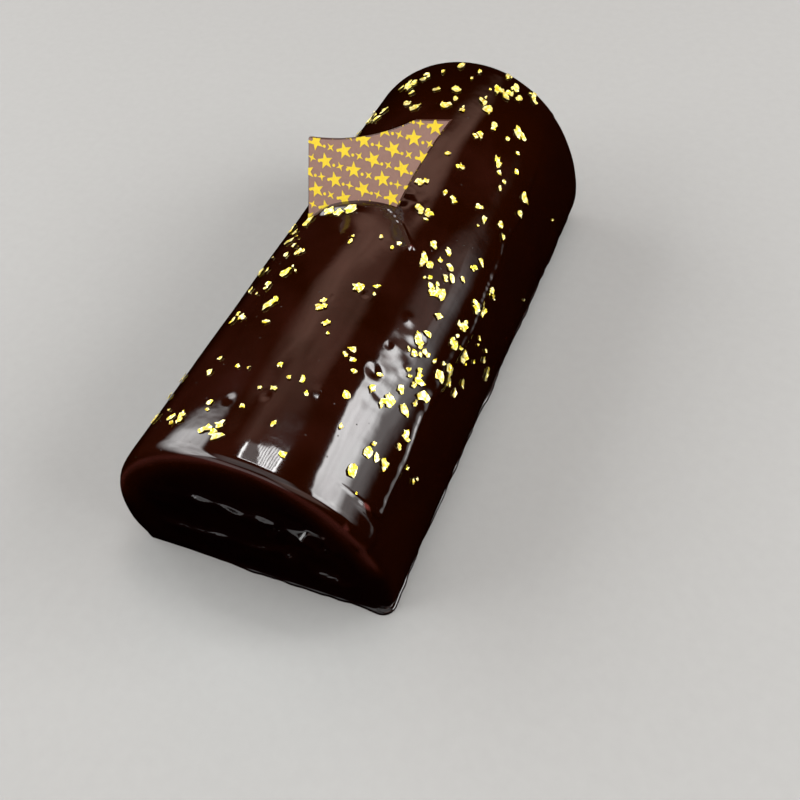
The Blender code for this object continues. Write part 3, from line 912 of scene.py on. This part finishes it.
# each light's azimuth and elevation are the direction in which a spot on the roll (aim) sees its middle
studio = {
    "floorSize": 3.0,
    "world": ("#B9C0C6", 0.15),
    "distance": 1.6,
    "lights": (
        # the tall window that draws the broad streak down the right shoulder
        {"name": "windowLight", "aim": (0.027, -0.060, 0.055), "azimuth": 74, "elevation": 28,
         "width": 1.70, "height": 0.78, "radiance": 15.5, "soft": (0.14, 0.12, 0.30, 0.08), "slant": 0.16},
        # the wall under it: the grey beside the streak, down to the seam
        {"name": "sillLight", "aim": (0.030, -0.060, 0.050), "azimuth": 69, "elevation": 11,
         "width": 1.78, "height": 0.46, "radiance": 2.6, "soft": (0.35, 0.10, 0.60, 0.10)},
        # the wall left of the window: a faint grey around the streak
        {"name": "cornerLight", "aim": (0.027, -0.030, 0.053), "azimuth": 44, "elevation": 25,
         "width": 0.46, "height": 0.95, "radiance": 0.9, "soft": (0.5, 0.2, 0.3, 0.3), "tint": "#FFDCD0"},
        # lit ceiling: the brown haze along the crown
        {"name": "ceilingLight", "aim": (0.008, -0.020, 0.062), "azimuth": -20, "elevation": 44.5,
         "width": 1.66, "height": 0.54, "radiance": 1.6, "soft": (0.38, 0.17, 0.35, 0.35),
         "tint": "#FFC8B2"},
        {"name": "upperCeilingLight", "aim": (0.006, -0.050, 0.062), "azimuth": -14, "elevation": 57,
         "width": 1.30, "height": 0.62, "radiance": 0.9, "soft": (0.3, 0.2, 0.4, 0.4), "tint": "#FFC8B2"},
        # a framed lamp with slats, mirrored small by the front rim
        {"name": "slattedLamp", "aim": (0.011, -0.085, 0.061), "azimuth": -2, "elevation": 70.5,
         "width": 0.94, "height": 0.30, "radiance": 34, "soft": (0.01, 0.01, 0.01, 0.01), "slats": 15},
        # the bright wall on the left, mirrored by the left of the front rim
        {"name": "wallLight", "aim": (-0.012, -0.092, 0.060), "azimuth": -100, "elevation": 25,
         "width": 2.40, "height": 1.40, "radiance": 8, "soft": (0.10, 0.08, 0.50, 0.10)},
        # the key and the room behind the viewer: they light the plaque and the leaf, and edge the rim
        {"name": "keyLight", "aim": (0, 0, 0.05), "azimuth": 172, "elevation": 62,
         "width": 2.60, "height": 1.50, "radiance": 1.3, "soft": (0.2, 0.2, 0.2, 0.2)},
        {"name": "roomLight", "aim": (0, -0.09, 0.04), "azimuth": -160, "elevation": 17,
         "width": 2.60, "height": 0.90, "radiance": 1.5, "soft": (0.2, 0.2, 0.3, 0.3)},
        {"name": "rightRoomLight", "aim": (0.02, -0.09, 0.05), "azimuth": 138, "elevation": 31,
         "width": 1.60, "height": 1.10, "radiance": 1.4, "soft": (0.2, 0.2, 0.3, 0.3), "tint": "#FFDCD0"},
    ),
}


def addFloor():
    work = bmesh.new()
    bmesh.ops.create_grid(work, x_segments=1, y_segments=1, size=studio["floorSize"])
    mesh = bpy.data.meshes.new("floor")
    work.to_mesh(mesh)
    work.free()
    mesh.materials.append(board)
    floor = meshObject("floor", mesh, (0, 0, cadBox[0].z - 0.0001))
    floor.visible_glossy = False         # a pale floor mirrored in the glaze would grey its sides


def lampFace(tree, soft, slats, slant):  # the brightness over a light's face, U to the roll's right and V up
    def sum_(kind, first, second=0.0):
        return addNode(tree, "ShaderNodeMath", {0: first, 1: second}, operation=kind).outputs[0]

    face = addNode(tree, "ShaderNodeNewGeometry").outputs["Parametric"]
    u, v = addNode(tree, "ShaderNodeSeparateXYZ", {0: face}).outputs[:2]
    u = sum_("SUBTRACT", 1.0, u)         # an area light's own U runs the other way
    cloud = addNode(tree, "ShaderNodeTexNoise", {"Vector": face, "Scale": 4.5, "Detail": 3})
    glow = addNode(tree, "ShaderNodeMapRange", {"Value": cloud.outputs["Fac"], "From Min": 0.35, "From Max": 0.65,
                                                "To Min": 0.74, "To Max": 1.06}).outputs["Result"]
    left = sum_("SUBTRACT", u, sum_("MULTIPLY", sum_("SUBTRACT", 1.0, v), slant))
    for side, feather in zip((left, sum_("SUBTRACT", 1.0, u), v, sum_("SUBTRACT", 1.0, v)), soft):
        fade = addNode(tree, "ShaderNodeMapRange", {"Value": side, "From Max": feather},
                       interpolation_type="SMOOTHSTEP")
        glow = sum_("MULTIPLY", fade.outputs["Result"], glow)
    if slats:
        bars = sum_("GREATER_THAN", sum_("SINE", sum_("MULTIPLY", u, math.tau * slats)))
        fan = sum_("GREATER_THAN", sum_("SUBTRACT", u, sum_("MULTIPLY", v, 0.35)), 0.30)
        rest = sum_("MAXIMUM", sum_("MULTIPLY", sum_("MULTIPLY", bars, fan), 0.9), 0.06)
        frameBars = sum_("MAXIMUM", sum_("LESS_THAN", u, 0.06), sum_("GREATER_THAN", u, 0.94))
        frameBars = sum_("MAXIMUM", frameBars, sum_("GREATER_THAN", v, 0.90))
        glow = sum_("MULTIPLY", glow, sum_("MAXIMUM", rest, frameBars))
    return glow


def addLight(name, aim, azimuth, elevation, width, height, radiance, soft, slats=0, slant=0.0,
             tint="#FFFFFF"):
    azimuth, elevation = math.radians(azimuth), math.radians(elevation)
    way = Vector((math.sin(azimuth) * math.cos(elevation), math.cos(azimuth) * math.cos(elevation),
                  math.sin(elevation)))
    lamp = bpy.data.lights.new(name, "AREA")
    lamp.shape = "RECTANGLE"
    lamp.size, lamp.size_y = width, height
    lamp.energy = radiance * math.pi * width * height
    lamp.color = hexColour(tint)[:3]
    lamp.use_nodes = True
    lamp.node_tree.links.new(lampFace(lamp.node_tree, soft, slats, slant),
                             lamp.node_tree.nodes["Emission"].inputs["Strength"])
    light = bpy.data.objects.new(name, lamp)
    scene.collection.objects.link(light)
    light.location = Vector(aim) + way * studio["distance"]
    light.rotation_euler = way.to_track_quat("Z", "Y").to_euler()
    light.visible_camera = False


def addWorld():
    world = bpy.data.worlds.new("air")
    world.use_nodes = True
    colour, strength = studio["world"]
    world.node_tree.nodes["Background"].inputs["Color"].default_value = hexColour(colour)
    world.node_tree.nodes["Background"].inputs["Strength"].default_value = strength
    world.cycles_visibility.glossy = False
    scene.world = world


addFloor()
for values in studio["lights"]:
    addLight(**values)
addWorld()
scene.view_settings.view_transform = "Standard"
print("studio ready")
